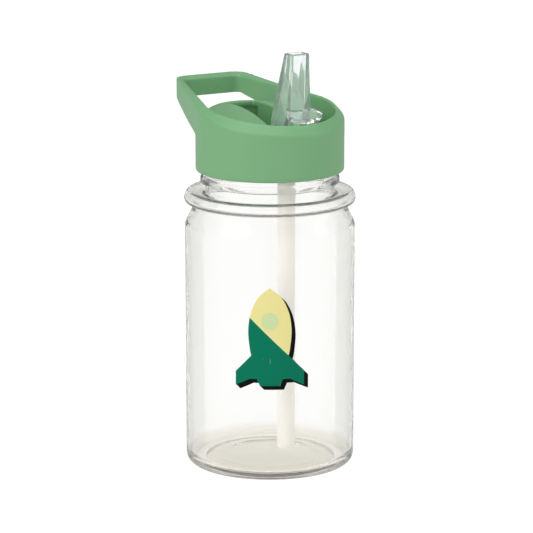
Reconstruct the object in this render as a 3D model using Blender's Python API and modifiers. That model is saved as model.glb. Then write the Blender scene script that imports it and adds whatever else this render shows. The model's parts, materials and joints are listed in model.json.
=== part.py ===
"""Kids water bottle: clear bottle with a printed motif, screw lid with a carry loop, flip spout and straw.

Everything is modelled round the bottle's own axis, +Z up, with the lid's front towards -Y and its carry loop
towards +Y. The parent empty then moves the whole object so that its footprint is centred on the origin.
"""

import math

import bmesh
import bpy
from mathutils import Matrix, Vector

MM = 0.001
OBJECT_NAME = "kids_water_bottle"
GAP = 0.3 * MM
TURN = 2 * math.pi

# Bottle
BODY_R = 36.0 * MM
BODY_TOP_R = 36.1 * MM
BODY_TOP_Z = 103.4 * MM
BASE_CORNER_R = 4.2 * MM
FOOT_R = 27.5 * MM
PUSH_UP_Z = 3.2 * MM
WALL = 1.4 * MM
BASE_WALL = 2.2 * MM
BULGE_R = 36.3 * MM
NECK_R = 27.3 * MM
NECK_BORE_R = 25.7 * MM
NECK_FOOT_Z = 121.2 * MM
BEAD_R = 29.5 * MM
BEAD_LOW_Z = 122.0 * MM
BEAD_HIGH_Z = 124.6 * MM
LIP_Z = 139.0 * MM
TURNED_STEPS = 40

# Thread: the same pitch on the neck and in the lid, half a pitch apart
PITCH = 4.0 * MM
THREAD_R = 0.95 * MM
NECK_THREAD_R = 27.65 * MM
NECK_THREAD_Z = 129.6 * MM
NECK_THREAD_TURNS = 1.6
LID_THREAD_R = 28.85 * MM
LID_THREAD_TURNS = 1.45
THREAD_STEPS = 24

# Lid
LID_R = 31.5 * MM
LID_BOTTOM_Z = 127.0 * MM
SKIRT_BORE_R = 29.3 * MM
DECK_LOW_Z = 141.3 * MM
DECK_HIGH_Z = 143.3 * MM
SHOULDER_Z = 144.5 * MM
PLUG_R = 23.9 * MM
PLUG_BORE_R = 22.4 * MM
PLUG_LOW_Z = 137.5 * MM

# Rim and carry loop: one band, round the front of the lid and back to the bar
RIM_INSET = 0.15 * MM
RIM_INNER_R = 27.5 * MM
CREST_Z = 155.6 * MM
CREST_FRONT_SLOPE = 0.18
CREST_BACK_SLOPE = 0.082
CREST_BLEND = 0.5 * MM
CREST_SHARE = 0.22
CREST_EDGE = 0.5 * MM
RIM_DROP = 4.3 * MM
RIM_DROP_Y = -20.0 * MM
BAR_RISE = 1.1 * MM
BAND_LOW_Z = 142.2 * MM
BAR_LOW_Z = 151.8 * MM
ARM_CURVE = 1.4
LEAVE_ANGLE = math.radians(12)
LOOP_REACH = 55.2 * MM
BAR_CORNER_X = 16.0 * MM
BAR_CORNER_R = 7.5 * MM
BAR_DEPTH = 3.4 * MM
ARM_WIDTH = 2.4 * MM

# Dome with the spout's trough
DOME_R = 24.0 * MM
DOME_Y = 7.3 * MM
DOME_TOP_Z = 152.4 * MM
DOME_FALL = 3.1 * MM
DOME_EDGE_R = 1.8 * MM
DOME_TILT = 0.135
TROUGH_HALF = 6.4 * MM
TROUGH_BACK_Y = 25.0 * MM
TROUGH_BACK_Z = 144.0 * MM
HOUSING_WALL = 1.6 * MM

# Spout, on a pivot across the trough, above the straw
PIVOT = Vector((0, -13.8 * MM, 142.6 * MM))
BARREL_R = 6.2 * MM
BARREL_HALF = 6.0 * MM
BARREL_GAP = 0.5 * MM
TRUNNION_R = 1.85 * MM
TRUNNION_END = 8.0 * MM
TAB_THICK = 1.8 * MM
TAB_HALF = 8.0 * MM
TAB_ROOT_Y = -24.2 * MM
TAB_ROOT_Z = 155.6 * MM
TAB_SLOPE = 0.48

# Straw, seal, gasket and air valve
STRAW_R = 3.75 * MM
STRAW_BORE_R = 3.1 * MM
STRAW_LOW_Z = 9.0 * MM
STRAW_HIGH_Z = 131.2 * MM
BOSS_R = 5.65 * MM
BOSS_LOW_Z = 127.3 * MM
BOSS_HIGH_Z = 135.2 * MM
DRINK_HOLE_R = 3.0 * MM
SEAL_R = 4.15 * MM
SEAL_BORE_R = 2.4 * MM
SEAL_LOW_Z = 133.0 * MM
SEAL_HIGH_Z = 136.8 * MM
GASKET_R = 28.9 * MM
GASKET_BORE_R = 24.3 * MM
VALVE_Y = 17.0 * MM
VALVE_HOLE_R = 2.0 * MM
VALVE_PAD_R = 4.5 * MM
VALVE_PAD_Z = 139.9 * MM

# Printed motif, a rocket, turned to face the front left of the lid
MOTIF_TURN = math.radians(-30)
MOTIF_Z = 63.0 * MM
MOTIF_HEIGHT = 42.0 * MM
MOTIF_THICK = 0.2 * MM

PARTS = bpy.data.collections.new(OBJECT_NAME)
CUTTERS = bpy.data.collections.new("cutters")


def clear_scene():
    for obj in list(bpy.data.objects):
        bpy.data.objects.remove(obj, do_unlink=True)
    for collection in (PARTS, CUTTERS):
        bpy.context.scene.collection.children.link(collection)


def material(name, color, roughness, alpha=1.0):
    mat = bpy.data.materials.new(name)
    mat.use_nodes = True
    shader = mat.node_tree.nodes["Principled BSDF"]
    shader.inputs["Base Color"].default_value = (*color, 1.0)
    shader.inputs["Roughness"].default_value = roughness
    shader.inputs["Metallic"].default_value = 0.0
    shader.inputs["Alpha"].default_value = alpha
    return mat


def add(name, mesh, mat=None):
    """A part with its material, or a cutter when it has none."""
    obj = bpy.data.objects.new(name, mesh)
    if mat:
        mesh.materials.append(mat)
        PARTS.objects.link(obj)
        return obj
    obj.hide_render = True
    obj.display_type = "WIRE"
    CUTTERS.objects.link(obj)
    return obj


def from_bmesh(name, bm, mat=None):
    mesh = bpy.data.meshes.new(name)
    bm.to_mesh(mesh)
    bm.free()
    return add(name, mesh, mat)


def shade(obj, degrees=35):
    obj.data.shade_smooth()
    obj.data.set_sharp_from_angle(angle=math.radians(degrees))


def boolean(obj, operation, *others):
    for other in others:
        modifier = obj.modifiers.new(f"{operation.lower()} {other.name}", "BOOLEAN")
        modifier.operation = operation
        modifier.object = other
        modifier.solver = "EXACT"


def arc(center, radius, start, end, steps):
    """Points (r, z) on an arc, angles in degrees from +r towards +z."""
    points = []
    for i in range(steps + 1):
        angle = math.radians(start + (end - start) * i / steps)
        points.append((center[0] + radius * math.cos(angle), center[1] + radius * math.sin(angle)))
    return points


def smooth(points, steps):
    """A Catmull-Rom curve through the points."""
    ends = [points[0], *points, points[-1]]
    curve = []
    for i in range(1, len(ends) - 2):
        before, start, end, after = (Vector(p) for p in ends[i - 1 : i + 3])
        slope = end - before
        bend = 2 * before - 5 * start + 4 * end - after
        twist = 3 * start - before - 3 * end + after
        for k in range(steps):
            t = k / steps
            curve.append(tuple(start + 0.5 * t * (slope + t * (bend + t * twist))))
    return [*curve, tuple(points[-1])]


def inside_of(points, wall):
    """The same (r, z) line moved in by the wall's thickness, square to itself."""
    moved = []
    for i, point in enumerate(points):
        before = Vector(points[max(i - 1, 0)])
        after = Vector(points[min(i + 1, len(points) - 1)])
        along = (after - before).normalized()
        moved.append((point[0] + along.y * wall, point[1] - along.x * wall))
    return moved


def turned(name, profile, mat=None, center=(0, 0), steps=TURNED_STEPS):
    """A profile of (r, z) points, outer side downwards, turned round a vertical axis."""
    closed = profile[0][0] > 0
    bm = bmesh.new()
    verts = [bm.verts.new((r, 0, z)) for r, z in profile]
    for a, b in zip(verts, verts[1:]):
        bm.edges.new((a, b))
    if closed:
        bm.edges.new((verts[-1], verts[0]))
    obj = from_bmesh(name, bm, mat)
    obj.location = (center[0], center[1], 0)
    screw = obj.modifiers.new("turn", "SCREW")
    screw.steps = steps
    screw.render_steps = steps
    screw.use_merge_vertices = True
    screw.merge_threshold = 1e-6
    screw.use_smooth_shade = True
    return obj


def cylinder(name, radius, low, high, matrix, segments=32):
    """A cylinder along the matrix's Z, from low to high, to join or cut with."""
    bm = bmesh.new()
    bmesh.ops.create_cone(
        bm,
        cap_ends=True,
        segments=segments,
        radius1=radius,
        radius2=radius,
        depth=high - low,
        matrix=matrix @ Matrix.Translation((0, 0, (low + high) / 2)),
    )
    return from_bmesh(name, bm)


def across(point):
    """The matrix that lays a cylinder's Z along X through the point."""
    return Matrix.Translation(point) @ Matrix.Rotation(math.pi / 2, 4, "Y")


def extruded(points, move):
    """A closed bmesh: the outline as a face, extruded by the move."""
    bm = bmesh.new()
    face = bm.faces.new([bm.verts.new(point) for point in points])
    side = bmesh.ops.extrude_face_region(bm, geom=[face])["geom"]
    moved = [v for v in side if isinstance(v, bmesh.types.BMVert)]
    bmesh.ops.translate(bm, verts=moved, vec=move)
    bmesh.ops.recalc_face_normals(bm, faces=bm.faces)
    return bm


def side_plate(name, outline, half_width):
    """An outline of (y, z) points, extruded along X to both sides, to join or cut with."""
    bm = extruded([(-half_width, y, z) for y, z in outline], (2 * half_width, 0, 0))
    return from_bmesh(name, bm)


def rectangle(half, back, front, z):
    return ((-half, front, z), (half, front, z), (half, back, z), (-half, back, z))


def rectangle_loft(bm, sections):
    """A block through level rectangles (z, back y, front y, half width), from the lowest up."""
    rings = [[bm.verts.new(p) for p in rectangle(half, back, front, z)] for z, back, front, half in sections]
    bm.faces.new(rings[0][::-1])
    for lower, upper in zip(rings, rings[1:]):
        for i in range(4):
            j = (i + 1) % 4
            bm.faces.new((lower[i], lower[j], upper[j], upper[i]))
    bm.faces.new(rings[-1])


def as_mesh(curve_object):
    """The object's evaluated mesh with its caps welded, as a cutter."""
    graph = bpy.context.evaluated_depsgraph_get()
    mesh = bpy.data.meshes.new_from_object(curve_object.evaluated_get(graph))
    bm = bmesh.new()
    bm.from_mesh(mesh)
    bmesh.ops.remove_doubles(bm, verts=bm.verts, dist=1e-6)
    bmesh.ops.recalc_face_normals(bm, faces=bm.faces)
    name, matrix = curve_object.name, curve_object.matrix_world.copy()
    bpy.data.objects.remove(curve_object, do_unlink=True)
    obj = from_bmesh(name, bm)
    obj.matrix_world = matrix
    return obj


def thread(name, radius, low_z, start_turns, turns):
    """A round thread ridge along a right-handed helix, thinned at both ends."""
    curve = bpy.data.curves.new(name, "CURVE")
    curve.dimensions = "3D"
    curve.bevel_depth = THREAD_R
    curve.bevel_resolution = 2
    curve.use_fill_caps = True
    count = round(turns * THREAD_STEPS)
    spline = curve.splines.new("POLY")
    spline.points.add(count)
    for i, point in enumerate(spline.points):
        turn = start_turns + i / THREAD_STEPS
        angle = TURN * turn
        point.co = (radius * math.cos(angle), radius * math.sin(angle), low_z + PITCH * turn, 1)
        point.radius = min(1.0, 0.35 + 0.2 * min(i, count - i))
    obj = bpy.data.objects.new(name, curve)
    CUTTERS.objects.link(obj)
    bpy.context.view_layer.update()
    return as_mesh(obj)


def bottle(clear):
    """Blown bottle: foot ring with a pushed-up centre, waist and bulge, neck with a bead and a thread."""
    corner = BODY_R - BASE_CORNER_R
    lower = [
        (BODY_R, 60 * MM),
        *arc((corner, BASE_CORNER_R), BASE_CORNER_R, 0, -90, 5),
        (FOOT_R, 0),
        (FOOT_R - 1.6 * MM, 1.3 * MM),
        (20.0 * MM, 2.0 * MM),
        (17.5 * MM, 2.9 * MM),
        (0, PUSH_UP_Z),
    ]
    waist = smooth(
        [
            (28.2 * MM, NECK_FOOT_Z),
            (31.2 * MM, 120.5 * MM),
            (34.4 * MM, 118.9 * MM),
            (BULGE_R - 0.4 * MM, 117.0 * MM),
            (BULGE_R, 115.2 * MM),
            (35.8 * MM, 113.7 * MM),
            (34.6 * MM, 112.2 * MM),
            (33.3 * MM, 110.4 * MM),
            (33.4 * MM, 108.6 * MM),
            (34.8 * MM, 106.9 * MM),
            (35.8 * MM, 105.2 * MM),
            (BODY_TOP_R, BODY_TOP_Z),
        ],
        2,
    )
    bead = [
        (NECK_R, BEAD_HIGH_Z + 0.9 * MM),
        (BEAD_R - 0.4 * MM, BEAD_HIGH_Z + 0.1 * MM),
        (BEAD_R, BEAD_HIGH_Z - 0.5 * MM),
        (BEAD_R, BEAD_LOW_Z + 0.5 * MM),
        (BEAD_R - 0.4 * MM, BEAD_LOW_Z),
        (NECK_R + 0.3 * MM, BEAD_LOW_Z - 0.4 * MM),
    ]
    lip = arc((NECK_R - 0.6 * MM, LIP_Z - 0.6 * MM), 0.6 * MM, 90, 0, 3)
    outer = [*lip, *bead, *waist, *lower]
    inner_wall = inside_of(waist[::2], WALL)[1:]
    inner_base = inside_of(lower[:-1], BASE_WALL)[2:]
    inner_corner = [(BODY_R - WALL, 60 * MM), (BODY_R - WALL, 9 * MM)]
    inner = [
        (0, PUSH_UP_Z + BASE_WALL),
        *reversed([*inner_wall, *inner_corner, *inner_base]),
        (NECK_BORE_R, NECK_FOOT_Z - 1.0 * MM),
        (NECK_BORE_R, LIP_Z - 0.5 * MM),
        (NECK_BORE_R + 0.4 * MM, LIP_Z),
    ]
    obj = turned("bottle", [*inner, *outer], clear)
    boolean(obj, "UNION", thread("neck_thread", NECK_THREAD_R, NECK_THREAD_Z, 0, NECK_THREAD_TURNS))
    return obj


def rocket_outline():
    """Right half of the rocket, nose to tail, as (x, z) shares of its height."""
    hull = smooth([(0.0, 0.5), (0.115, 0.4), (0.19, 0.24), (0.215, 0.06), (0.2, -0.12), (0.185, -0.19)], 3)
    fin = [(0.34, -0.36), (0.34, -0.5), (0.2, -0.43), (0.13, -0.43), (0.1, -0.5), (0.0, -0.5)]
    return hull + fin


def motif(ink):
    """Printed film round the wall: where a thin sleeve meets the rocket's outline, pushed through it."""
    inner = BODY_R + GAP
    low, high = MOTIF_Z - 0.6 * MOTIF_HEIGHT, MOTIF_Z + 0.6 * MOTIF_HEIGHT
    sleeve = [(inner, high), (inner + MOTIF_THICK, high), (inner + MOTIF_THICK, low), (inner, low)]
    obj = turned("printed_motif", sleeve, ink, steps=96)
    half = [(x * MOTIF_HEIGHT, MOTIF_Z + z * MOTIF_HEIGHT) for x, z in rocket_outline()]
    outline = half + [(-x, z) for x, z in reversed(half[1:-1])]
    bm = extruded([(x, -2 * BODY_R, z) for x, z in outline], (0, 1.5 * BODY_R, 0))
    bmesh.ops.rotate(bm, verts=bm.verts, cent=(0, 0, 0), matrix=Matrix.Rotation(MOTIF_TURN, 3, "Z"))
    boolean(obj, "INTERSECT", from_bmesh("motif_outline", bm))
    return obj


def crest_height(y):
    """The band's top: it climbs steeply at the front and gently along the arms, with a soft bend between."""
    front = CREST_Z + CREST_FRONT_SLOPE * y
    back = CREST_Z + CREST_BACK_SLOPE * y
    return (front + back) / 2 - math.hypot((front - back) / 2, CREST_BLEND)


def plan_of(circle_r, corner_x, reach, corner_r):
    """Right half of the band's plan, front to back: circle, straight arm, round corner, bar."""
    rim_steps, arm_steps, corner_steps = 19, 8, 5
    leave = LEAVE_ANGLE
    points = []
    for i in range(rim_steps + 1):
        angle = -math.pi / 2 + (math.pi / 2 + leave) * i / rim_steps
        points.append(Vector((circle_r * math.cos(angle), circle_r * math.sin(angle))))
    start, corner = points[-1], Vector((corner_x, reach))
    arm = (corner - start).normalized()
    half_bend = arm.angle(Vector((-1, 0))) / 2
    back_off = corner_r * math.tan(half_bend)
    arm_end, bar_start = corner - arm * back_off, corner + Vector((-back_off, 0))
    for i in range(1, arm_steps + 1):
        points.append(start.lerp(arm_end, i / arm_steps))
    for i in range(1, corner_steps + 1):
        t = i / corner_steps
        points.append(arm_end.lerp(corner, t).lerp(corner.lerp(bar_start, t), t))
    points.append(Vector((0, reach)))
    return points


def share_of_way(y, start):
    """How far y is on the way back from the start to the bar, from 0 to 1."""
    return min(1.0, max(0.0, (y - start) / (LOOP_REACH - BAR_DEPTH - start)))


def band():
    """Rim and carry loop as one closed ring of sections: upright inside, with a top that slopes to the front."""
    outer = plan_of(LID_R - RIM_INSET, BAR_CORNER_X, LOOP_REACH, BAR_CORNER_R)
    inner_corner_x = BAR_CORNER_X - ARM_WIDTH
    inner = plan_of(RIM_INNER_R, inner_corner_x, LOOP_REACH - BAR_DEPTH, BAR_CORNER_R / 2)
    halves = []
    for out, into in zip(outer, inner):
        top = crest_height(into.y)
        edge = top - RIM_DROP + (RIM_DROP + BAR_RISE) * share_of_way(out.y, RIM_DROP_Y)
        climb = share_of_way(out.y, LID_R * math.sin(LEAVE_ANGLE))
        low = BAND_LOW_Z + (BAR_LOW_Z - BAND_LOW_Z) * climb**ARM_CURVE
        crest = into.lerp(out, CREST_SHARE)
        halves.append(((out, low), (out, edge), (crest, top), (into, top - CREST_EDGE), (into, low)))
    mirrored = [[(Vector((-p.x, p.y)), z) for p, z in section] for section in reversed(halves[1:-1])]
    bm = bmesh.new()
    rings = [[bm.verts.new((p.x, p.y, z)) for p, z in section] for section in halves + mirrored]
    for first, second in zip(rings, rings[1:] + rings[:1]):
        for i in range(len(first)):
            j = (i + 1) % len(first)
            bm.faces.new((first[i], second[i], second[j], first[j]))
    bmesh.ops.recalc_face_normals(bm, faces=bm.faces)
    return from_bmesh("rim_and_loop", bm)


def dome(name, radius, top_z, low_z, fall):
    """A low dome on a round wall, its top tilted up towards the back."""
    edge = DOME_EDGE_R
    crown = []
    for i in range(7):
        r = (radius - edge) * i / 6
        crown.append((r, top_z - fall * (r / (radius - edge)) ** 2))
    side_z = crown[-1][1]
    rounded = arc((radius - edge, side_z - edge), edge, 70, 0, 3)
    obj = turned(name, [*crown, *rounded, (radius, low_z), (0, low_z)], center=(0, DOME_Y), steps=40)
    obj = as_mesh(obj)
    for vert in obj.data.vertices:
        if vert.co.z > low_z + GAP:
            vert.co.z += DOME_TILT * vert.co.y
    return obj


def trough_outline(clearance, back_y, top_z):
    """(y, z) outline of the folded spout's space: round the barrel, then a floor that climbs to the back."""
    reach = BARREL_R + clearance
    front = arc((PIVOT.y, PIVOT.z), reach, 180, 270, 8)
    end_z = TROUGH_BACK_Z - (clearance - GAP)
    return [(PIVOT.y - reach, top_z), *front, (back_y, end_z), (back_y, top_z)]


def lid_blank(green):
    """Skirt, deck and plug ring, with the shoulder that the rim stands on."""
    profile = [
        (0, DECK_HIGH_Z),
        (29.0 * MM, DECK_HIGH_Z),
        (29.0 * MM, SHOULDER_Z),
        (LID_R, SHOULDER_Z),
        (LID_R, LID_BOTTOM_Z + 0.9 * MM),
        (LID_R - 0.3 * MM, LID_BOTTOM_Z + 0.25 * MM),
        (LID_R - 0.9 * MM, LID_BOTTOM_Z),
        (SKIRT_BORE_R + 0.5 * MM, LID_BOTTOM_Z),
        (SKIRT_BORE_R, LID_BOTTOM_Z + 0.6 * MM),
        (SKIRT_BORE_R, DECK_LOW_Z),
        (PLUG_R, DECK_LOW_Z),
        (PLUG_R, PLUG_LOW_Z + 0.5 * MM),
        (PLUG_R - 0.5 * MM, PLUG_LOW_Z),
        (PLUG_BORE_R, PLUG_LOW_Z),
        (PLUG_BORE_R, DECK_LOW_Z),
        (0, DECK_LOW_Z),
    ]
    return turned("lid_body", profile, green, steps=48)


def lid(green):
    """The lid, moulded in one: skirt, rim, loop, dome, trough, straw socket and the pad for the air valve."""
    obj = lid_blank(green)
    upright = Matrix.Translation((0, PIVOT.y, 0))
    valve = Matrix.Translation((0, VALVE_Y, 0))
    hole_end = TRUNNION_END + 0.4 * MM
    boolean(
        obj,
        "UNION",
        band(),
        dome("dome_skin", DOME_R, DOME_TOP_Z, DECK_LOW_Z + 0.7 * MM, DOME_FALL),
        thread("lid_thread", LID_THREAD_R, NECK_THREAD_Z + PITCH / 2, 0.1, LID_THREAD_TURNS),
    )
    hollow_r, hollow_top, hollow_low = DOME_R - 4.4 * MM, DOME_TOP_Z - 2.2 * MM, DECK_LOW_Z - 1.5 * MM
    boolean(obj, "DIFFERENCE", dome("dome_hollow", hollow_r, hollow_top, hollow_low, DOME_FALL * 0.7))
    boolean(
        obj,
        "UNION",
        trough_housing(),
        cylinder("straw_socket", BOSS_R, BOSS_LOW_Z, BOSS_HIGH_Z, upright),
        cylinder("valve_pad", VALVE_PAD_R, VALVE_PAD_Z, DECK_LOW_Z + 0.9 * MM, valve),
    )
    boolean(
        obj,
        "DIFFERENCE",
        side_plate("trough", trough_outline(BARREL_GAP, TROUGH_BACK_Y, 170 * MM), TROUGH_HALF),
        cylinder("seal_seat", SEAL_R + GAP, SEAL_LOW_Z - GAP, SEAL_HIGH_Z + MM, upright),
        cylinder("drink_hole", DRINK_HOLE_R, STRAW_HIGH_Z - MM, SEAL_LOW_Z + MM, upright),
        cylinder("straw_bore", STRAW_R + GAP, BOSS_LOW_Z - 5 * MM, STRAW_HIGH_Z + GAP, upright),
        cylinder("trunnion_holes", TRUNNION_R + GAP, -hole_end, hole_end, across(PIVOT)),
        cylinder("valve_hole", VALVE_HOLE_R, VALVE_PAD_Z - 5 * MM, DOME_TOP_Z, valve, segments=20),
    )
    return obj


def trough_housing():
    """The trough's floor and side walls, standing in the dome's hollow and reaching below the deck."""
    back_y = TROUGH_BACK_Y - 3.0 * MM
    floor = trough_outline(BARREL_GAP + HOUSING_WALL, back_y, DECK_HIGH_Z - GAP)[:-1]
    under_dome = [
        (back_y, DOME_TOP_Z - 1.0 * MM),
        (5.0 * MM, DOME_TOP_Z - 1.6 * MM),
        (-4.0 * MM, DOME_TOP_Z - 4.2 * MM),
        (PIVOT.y - 1.0 * MM, DECK_HIGH_Z - GAP),
    ]
    return side_plate("trough_housing", floor + under_dome, TROUGH_HALF + HOUSING_WALL)


def tab_outline():
    """Thumb tab seen from above, as (x, y) from the spout's face out to a curved edge."""
    root_y, side_y, tip_y = -21.5 * MM, -28.6 * MM, -30.9 * MM
    corner, front = (TAB_HALF * 0.75, -30.1 * MM), (TAB_HALF * 0.4, -30.7 * MM)
    edge = smooth([(TAB_HALF, side_y), corner, front, (0, tip_y)], 2)
    half = [(5.0 * MM, root_y), (5.9 * MM, -24.0 * MM), *edge]
    return half + [(-x, y) for x, y in reversed(half[:-1])]


def spout(clear):
    """Tapered square mouthpiece on a barrel with trunnions, with a thumb tab; its origin is on the pivot."""
    bm = bmesh.new()
    sections = (
        (PIVOT.z - 1.0 * MM, -7.9 * MM, -19.7 * MM, 5.9 * MM),
        (156.0 * MM, -12.0 * MM, -24.2 * MM, 5.85 * MM),
        (179.5 * MM, -18.9 * MM, -25.4 * MM, 4.35 * MM),
    )
    rectangle_loft(bm, sections)
    upright = [e for e in bm.edges if abs(e.verts[0].co.z - e.verts[1].co.z) > MM]
    bmesh.ops.bevel(bm, geom=upright, offset=0.9 * MM, segments=2, affect="EDGES", profile=0.5)
    obj = from_bmesh("spout", bm, clear)
    barrel = cylinder("barrel", BARREL_R, -BARREL_HALF, BARREL_HALF, across(PIVOT), segments=40)
    pins = cylinder("trunnions", TRUNNION_R, -TRUNNION_END, TRUNNION_END, across(PIVOT), segments=24)
    tab = extruded([(x, y, 0) for x, y in tab_outline()], (0, 0, TAB_THICK))
    for vert in tab.verts:
        vert.co.z += TAB_ROOT_Z + TAB_SLOPE * (vert.co.y - TAB_ROOT_Y)
    channel = bmesh.new()
    rectangle_loft(
        channel,
        (
            (134.0 * MM, -11.8 * MM, -15.8 * MM, 2.0 * MM),
            (140.0 * MM, -11.6 * MM, -16.0 * MM, 2.4 * MM),
            (156.0 * MM, -14.6 * MM, -21.9 * MM, 3.6 * MM),
            (179.5 * MM, -20.0 * MM, -24.3 * MM, 3.2 * MM),
            (182.0 * MM, -20.6 * MM, -24.5 * MM, 3.2 * MM),
        ),
    )
    boolean(obj, "UNION", barrel, pins, from_bmesh("thumb_tab", tab))
    boolean(obj, "DIFFERENCE", from_bmesh("channel", channel))
    obj.data.transform(Matrix.Translation(-PIVOT))
    obj.location = PIVOT
    return obj


def straw(milky):
    profile = [
        (STRAW_BORE_R, STRAW_HIGH_Z),
        (STRAW_R, STRAW_HIGH_Z),
        (STRAW_R, STRAW_LOW_Z),
        (STRAW_BORE_R, STRAW_LOW_Z),
    ]
    return turned("straw", profile, milky, center=(0, PIVOT.y), steps=32)


def spout_seal(silicone):
    """Silicone seat under the barrel, its top hollowed to the barrel's curve."""
    profile = [
        (SEAL_BORE_R, SEAL_HIGH_Z),
        (SEAL_R, SEAL_HIGH_Z),
        (SEAL_R, SEAL_LOW_Z),
        (SEAL_BORE_R, SEAL_LOW_Z),
    ]
    obj = turned("spout_seal", profile, silicone, center=(0, PIVOT.y), steps=32)
    saddle = cylinder("seal_saddle", BARREL_R + GAP, -10 * MM, 10 * MM, across(PIVOT), segments=64)
    boolean(obj, "DIFFERENCE", saddle)
    return obj


def lid_gasket(silicone):
    low, high = LIP_Z + GAP, DECK_LOW_Z - GAP
    profile = [
        (GASKET_BORE_R, high),
        (GASKET_R, high),
        (GASKET_R, low),
        (GASKET_BORE_R, low),
    ]
    return turned("lid_gasket", profile, silicone, steps=TURNED_STEPS)


def air_valve(silicone):
    """Duckbill valve: stem in the deck's hole, flange under its pad, and a flattened bill below."""
    stem_r, flange_r = VALVE_HOLE_R - GAP, VALVE_PAD_R - 1.3 * MM
    flange_high = VALVE_PAD_Z - GAP
    flange_low = flange_high - 1.0 * MM
    profile = [
        (0, DECK_HIGH_Z - 1.6 * MM),
        (stem_r, DECK_HIGH_Z - 1.6 * MM),
        (stem_r, flange_high),
        (flange_r, flange_high),
        (flange_r, flange_low),
        (2.2 * MM, flange_low),
        (2.0 * MM, flange_low - 2.5 * MM),
        (1.7 * MM, flange_low - 4.2 * MM),
        (0, flange_low - 4.2 * MM),
    ]
    obj = as_mesh(turned("air_valve_blank", profile, center=(0, VALVE_Y), steps=24))
    for vert in obj.data.vertices:
        depth = max(0.0, flange_low - vert.co.z) / (4.2 * MM)
        vert.co.y *= 1 - 0.75 * depth
    obj.name = "air_valve"
    obj.data.materials.append(silicone)
    CUTTERS.objects.unlink(obj)
    PARTS.objects.link(obj)
    obj.hide_render = False
    obj.display_type = "TEXTURED"
    return obj


def main():
    clear_scene()
    clear = material("clear_copolyester", (0.95, 0.96, 0.95), 0.05, 0.3)
    clear_spout = material("clear_spout_plastic", (0.85, 0.92, 0.9), 0.06, 0.5)
    green = material("sage_green_polypropylene", (0.23, 0.45, 0.24), 0.42)
    milky = material("milky_polyethylene", (0.85, 0.83, 0.78), 0.4)
    silicone = material("white_silicone", (0.88, 0.88, 0.86), 0.55)
    ink = material("print_ink", (0.01, 0.2, 0.12), 0.3)
    parts = [
        bottle(clear),
        motif(ink),
        lid(green),
        spout(clear_spout),
        spout_seal(silicone),
        straw(milky),
        lid_gasket(silicone),
        air_valve(silicone),
    ]
    for obj in parts:
        shade(obj)
    axis = bpy.data.objects.new("bottle_axis", None)
    PARTS.objects.link(axis)
    axis.location.y = -(LOOP_REACH - BULGE_R) / 2
    for obj in [*PARTS.objects, *CUTTERS.objects]:
        if obj is not axis:
            obj.parent = axis


main()
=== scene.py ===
"""Kids water bottle: the looks of the clear bottle, its printed motif, green lid, spout, straw and seals.

Laid out as an add-on and run as a script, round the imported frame. Sizes are in metres. Profiles and
outlines are drawn round the bottle's own axis and moved to its place in the frame.
"""

import json
import math

import bpy
from bpy.props import FloatProperty, FloatVectorProperty, IntProperty, PointerProperty
from mathutils import Matrix, Vector


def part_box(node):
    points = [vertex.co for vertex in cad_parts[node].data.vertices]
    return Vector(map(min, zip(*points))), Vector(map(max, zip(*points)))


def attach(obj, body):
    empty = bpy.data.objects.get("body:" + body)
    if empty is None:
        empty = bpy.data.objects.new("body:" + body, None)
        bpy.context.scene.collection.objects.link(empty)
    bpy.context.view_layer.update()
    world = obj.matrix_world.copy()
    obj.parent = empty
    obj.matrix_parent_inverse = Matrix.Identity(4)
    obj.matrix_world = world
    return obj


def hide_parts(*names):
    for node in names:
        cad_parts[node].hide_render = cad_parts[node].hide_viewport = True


bl_info = {
    "name": "Kids water bottle",
    "version": (1, 0, 0),
    "blender": (4, 5, 0),
    "location": "View3D > Sidebar > Bottle",
    "description": "Builds a clear drinking bottle with a screw lid, spout and straw round its frame",
    "category": "Object",
}

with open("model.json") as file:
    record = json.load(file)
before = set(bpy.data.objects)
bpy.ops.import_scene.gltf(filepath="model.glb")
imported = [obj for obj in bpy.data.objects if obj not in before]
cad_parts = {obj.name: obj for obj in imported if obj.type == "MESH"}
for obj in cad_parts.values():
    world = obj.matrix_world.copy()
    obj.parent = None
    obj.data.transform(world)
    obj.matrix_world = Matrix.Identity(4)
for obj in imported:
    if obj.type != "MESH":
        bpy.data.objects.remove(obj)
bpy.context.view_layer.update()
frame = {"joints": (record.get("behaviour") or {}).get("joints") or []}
JOINTS = {joint["name"]: joint for joint in frame["joints"]}
AXIS = Vector((0.0, JOINTS["lid_turn"]["pos_m"][1], 0.0))
PIVOT = Vector(JOINTS["spout_flip"]["pos_m"]) - AXIS
MM = 0.001
TURN = 2 * math.pi
WELD = 2e-6
ALONG_X = (0, math.pi / 2, 0)
LEAVE_ANGLE = math.radians(12)  # how far behind the lid's side the loop's arms leave the round rim
UP_RIGHT = Vector((1, 0, 1)).normalized()  # square to the line between the motif's two inks
VALVE_Y = 17 * MM
PITCH = 4 * MM


def linear(red, green, blue):
    """A colour given as 0 to 255, as the linear values that a shader takes."""
    steps = [value / 255 for value in (red, green, blue)]
    return tuple(s / 12.92 if s <= 0.04045 else ((s + 0.055) / 1.055) ** 2.4 for s in steps)


def mm(*points):
    """Points given in millimetres, in metres."""
    return [tuple(value * MM for value in point) for point in points]


def length_property(name, description, millimetres):
    return FloatProperty(
        name=name,
        description=description,
        default=millimetres * MM,
        min=0,
        precision=5,
        subtype="DISTANCE",
        unit="LENGTH",
    )


def colour_property(name, description, shade):
    return FloatVectorProperty(
        name=name, description=description, default=shade, min=0, max=1, size=3, subtype="COLOR"
    )


def share_property(name, description, share):
    return FloatProperty(name=name, description=description, default=share, min=0, max=1)


def angle_property(name, description, degrees):
    return FloatProperty(
        name=name, description=description, default=math.radians(degrees), subtype="ANGLE"
    )


def distance_property(name, description, metres):
    return FloatProperty(name=name, description=description, default=metres, subtype="DISTANCE")


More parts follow.
